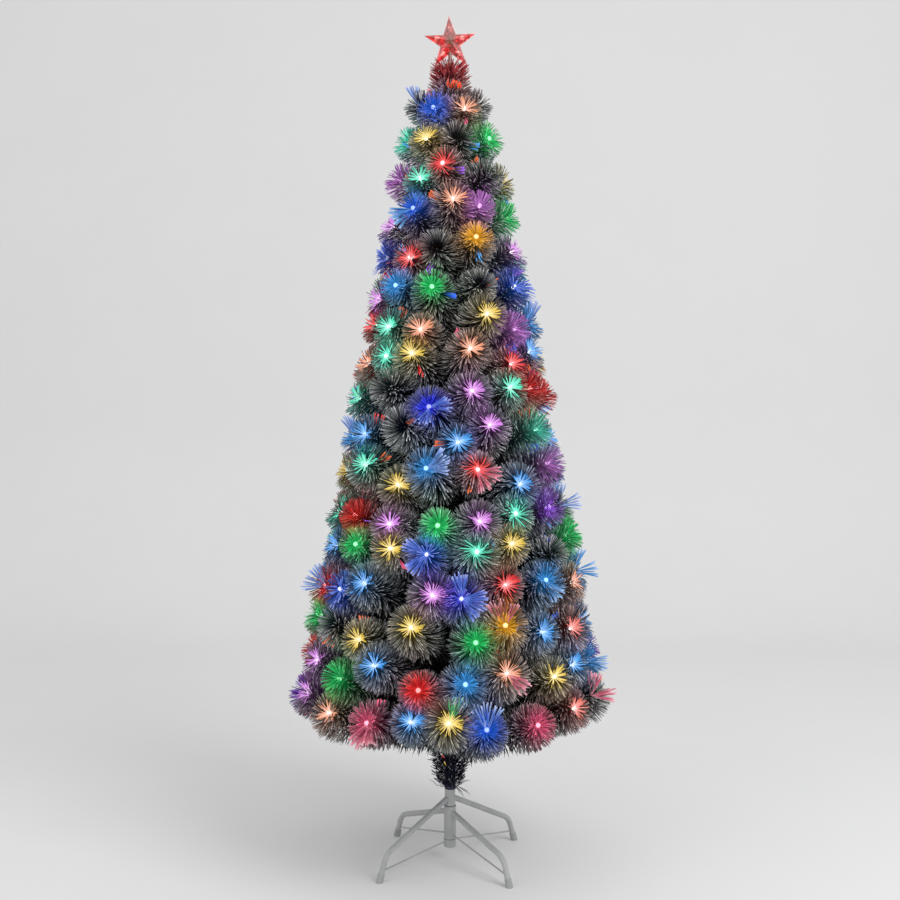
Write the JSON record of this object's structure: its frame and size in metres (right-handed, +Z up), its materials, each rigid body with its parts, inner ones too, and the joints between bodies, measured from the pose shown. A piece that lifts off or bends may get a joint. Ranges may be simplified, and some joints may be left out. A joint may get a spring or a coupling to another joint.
{
  "type": "fiber optic christmas tree",
  "caption": "Slim artificial tree with flocked brush tips, a lamp and glowing strands at each tip, a clear star and a folding steel stand.",
  "frame": {"origin": "centre of the bounding box's base: the floor under the pole", "axes": "+Z up along the pole, -Y towards the front, where the star's face points, +X to the viewer's right"},
  "size_m": [0.6734, 0.6733, 1.8004],
  "materials": {
    "stand_steel": "satin",
    "cap_plastic": "satin",
    "zinc": "satin",
    "pole_paint": "satin",
    "black_plastic": "satin",
    "white_plastic": "satin",
    "needles": "matte",
    "garland": "matte",
    "clear_plastic": "gloss",
    "star_light": "satin"
  },
  "bodies": {
    "stand": {"stand_tube": "stand_steel", "bottom_collar": "stand_steel", "leg_back_right": "stand_steel", "leg_front_left": "stand_steel", "strut_back_right": "stand_steel", "strut_front_left": "stand_steel", "foot_back_right": "cap_plastic", "foot_front_left": "cap_plastic", "clamp_nut": "zinc"},
    "turning_legs": {"turning_sleeve": "stand_steel", "leg_back_left": "stand_steel", "leg_front_right": "stand_steel", "strut_back_left": "stand_steel", "strut_front_right": "stand_steel", "foot_back_left": "cap_plastic", "foot_front_right": "cap_plastic"},
    "clamp": {"clamp_screw": "zinc"},
    "lower_section": {"pole_lower": "pole_paint", "power_inlet": "black_plastic", "harness_to_middle": "black_plastic", "socket_below_middle": "white_plastic", "trunk_garland": "garland", "tier_01": "needles", "tier_02": "needles", "tier_03": "needles", "tier_04": "needles", "tier_05": "needles", "tier_06": "needles"},
    "middle_section": {"pole_middle": "pole_paint", "plug_in_middle": "white_plastic", "harness_to_top": "black_plastic", "socket_below_top": "white_plastic", "tier_07": "needles", "tier_08": "needles", "tier_09": "needles", "tier_10": "needles", "tier_11": "needles", "tier_12": "needles"},
    "top_section": {"pole_top": "pole_paint", "plug_in_top": "white_plastic", "harness_to_leader": "black_plastic", "tier_13": "needles", "tier_14": "needles", "tier_15": "needles", "tier_16": "needles", "tier_17": "needles", "leader": "needles"},
    "star": {"star_socket": "black_plastic", "star_front": "clear_plastic", "star_back": "clear_plastic", "star_light": "star_light"}
  },
  "joints": [
    {"name": "legs_fold", "type": "hinge", "parent": "stand", "child": "turning_legs", "pos_m": [0, 0, 0], "axis": [0, 0, 1], "range_deg": [-80, 80]},
    {"name": "clamp_turn", "type": "hinge", "parent": "stand", "child": "clamp", "pos_m": [0, 0, 0.138], "axis": [0, 1, 0], "range_deg": [0, 360]},
    {"name": "tree_lift", "type": "slide", "parent": "stand", "child": "lower_section", "axis": [0, 0, 1], "range_m": [0, 0.135]},
    {"name": "middle_lift", "type": "slide", "parent": "lower_section", "child": "middle_section", "axis": [0, 0, 1], "range_m": [0, 0.07]},
    {"name": "top_lift", "type": "slide", "parent": "middle_section", "child": "top_section", "axis": [0, 0, 1], "range_m": [0, 0.07]},
    {"name": "star_lift", "type": "slide", "parent": "top_section", "child": "star", "axis": [0, 0, 1], "range_m": [0, 0.035]}
  ]
}
